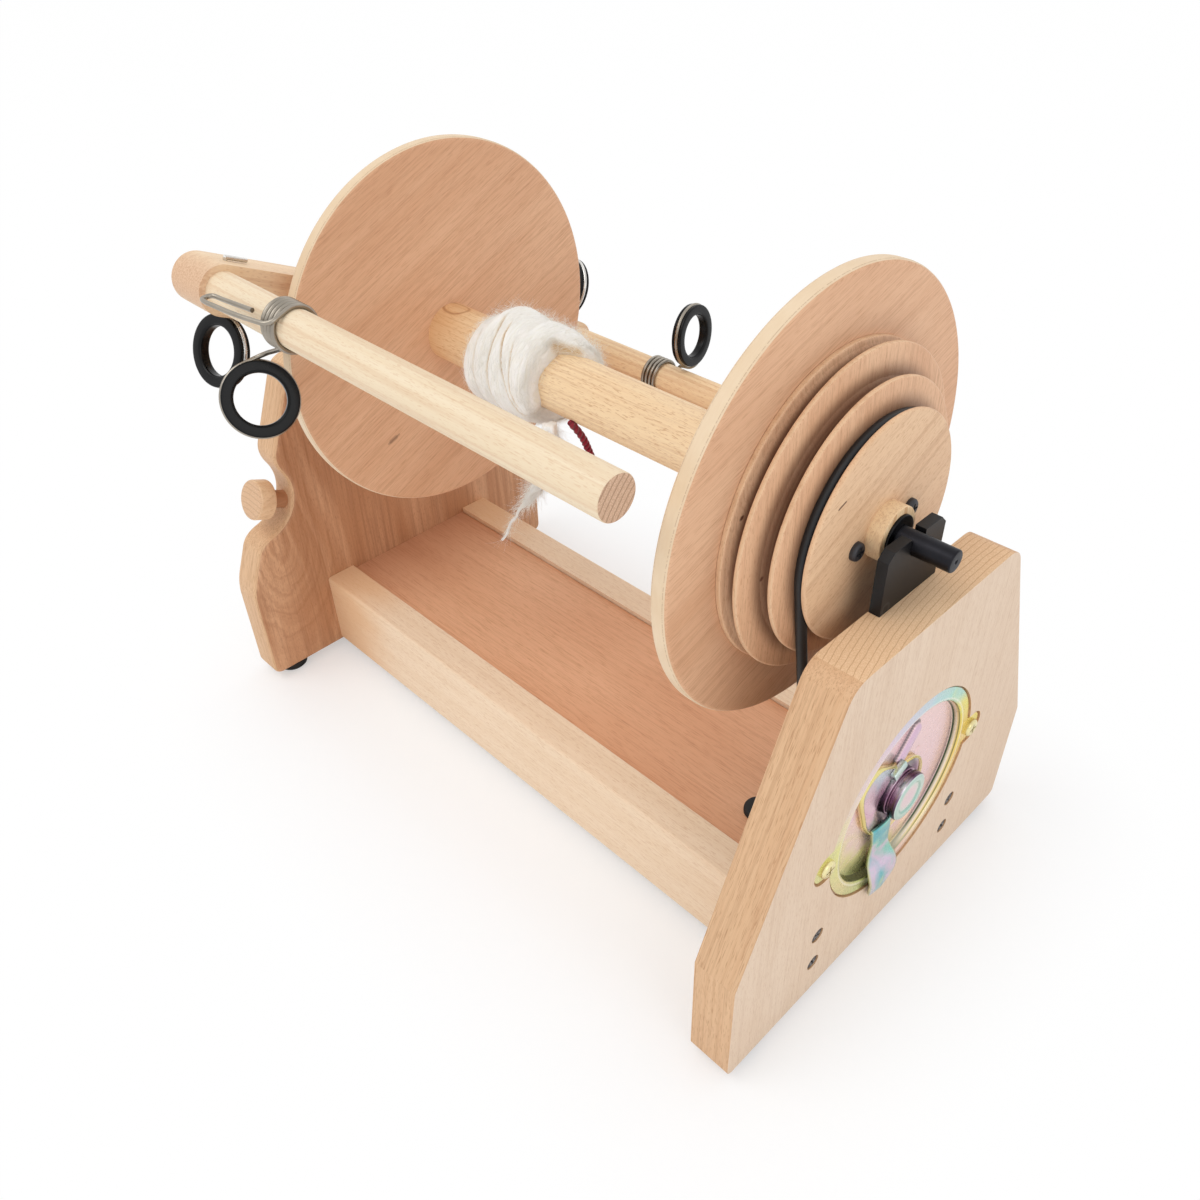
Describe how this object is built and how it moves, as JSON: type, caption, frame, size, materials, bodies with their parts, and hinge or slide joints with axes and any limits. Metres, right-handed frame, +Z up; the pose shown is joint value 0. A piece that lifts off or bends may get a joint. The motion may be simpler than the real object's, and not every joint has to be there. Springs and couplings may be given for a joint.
{
  "type": "electric spinning wheel",
  "caption": "Tabletop electric spinning wheel: two trapezoid end boards on rails, a large bobbin driven by a belt, and a two-armed flyer with sliding rings.",
  "frame": {"origin": "on the table under the middle of the frame, half way between the end boards' inner faces and between the rails", "axes": "+X along the bobbin's axis towards the motor end, +Y to the back, +Z up"},
  "size_m": [0.3409, 0.2289, 0.269],
  "materials": {
    "pale_ply": "satin",
    "beech": "satin",
    "base_ply": "satin",
    "disc_wood": "satin",
    "pale_wood": "satin",
    "black_plastic": "satin",
    "rubber": "matt",
    "dark_steel": "satin",
    "bright_steel": "polished",
    "iridescent_steel": "brushed",
    "motor_case": "satin",
    "belt": "matt",
    "bush_plastic": "satin",
    "spring_wire": "satin",
    "wool": "matt",
    "leader": "matt"
  },
  "bodies": {
    "frame": {"drive_end_board": "pale_ply", "orifice_end_board": "pale_ply", "near_rail": "beech", "far_rail": "beech", "base_panel": "base_ply", "base_grommet": "black_plastic", "rubber_feet": "rubber", "frame_screws": "dark_steel", "drive_cradle": "black_plastic", "orifice_cradle": "black_plastic", "cradle_screws": "dark_steel", "motor_plate": "iridescent_steel", "motor_cap": "bright_steel", "motor_strap": "iridescent_steel", "motor_screws": "dark_steel", "motor_housing": "motor_case", "drive_belt": "belt"},
    "flyer": {"flyer_crossbar": "pale_wood", "near_arm": "pale_wood", "far_arm": "pale_wood", "flyer_shaft": "bright_steel", "shaft_collar": "bush_plastic", "orifice_hub": "pale_wood", "near_fixed_ring": "black_plastic", "near_ring_pin": "spring_wire", "far_fixed_ring": "black_plastic", "far_ring_pin": "spring_wire"},
    "near_hook": {"near_hook_wire": "spring_wire", "near_hook_ring": "black_plastic"},
    "far_hook": {"far_hook_wire": "spring_wire", "far_hook_ring": "black_plastic"},
    "bobbin": {"front_disc": "disc_wood", "rear_disc": "disc_wood", "bobbin_core": "pale_wood", "drive_pulley": "pale_wood", "pulley_boss": "pale_wood", "pulley_screws": "bright_steel", "rear_bush": "bush_plastic", "front_bush": "bush_plastic", "wool_winding": "wool", "wool_tail": "wool", "red_leader": "leader"},
    "motor_rotor": {"motor_shaft": "bright_steel", "motor_pulley": "bush_plastic"},
    "tension_peg": {"tension_peg": "pale_wood"}
  },
  "joints": [
    {"name": "flyer_spin", "type": "hinge", "parent": "frame", "child": "flyer", "pos_m": [0, 0, 0.189], "axis": [1, 0, 0], "continuous": true},
    {"name": "bobbin_spin", "type": "hinge", "parent": "frame", "child": "bobbin", "pos_m": [0, 0, 0.189], "axis": [1, 0, 0], "continuous": true},
    {"name": "motor_spin", "type": "hinge", "parent": "frame", "child": "motor_rotor", "pos_m": [0.1345, 0, 0.082], "axis": [1, 0, 0], "continuous": true},
    {"name": "peg_turn", "type": "hinge", "parent": "frame", "child": "tension_peg", "pos_m": [-0.157, -0.06303, 0.09832], "axis": [0, -0.9211, 0.3894], "range_deg": [-180, 180]},
    {"name": "near_hook_slide", "type": "slide", "parent": "flyer", "child": "near_hook", "axis": [1, 0, 0], "range_m": [-0.008, 0.145]},
    {"name": "far_hook_slide", "type": "slide", "parent": "flyer", "child": "far_hook", "axis": [1, 0, 0], "range_m": [-0.04, 0.13]}
  ],
  "couplings": [
    {"joint": "motor_spin", "follows": "bobbin_spin", "ratio": 2}
  ]
}
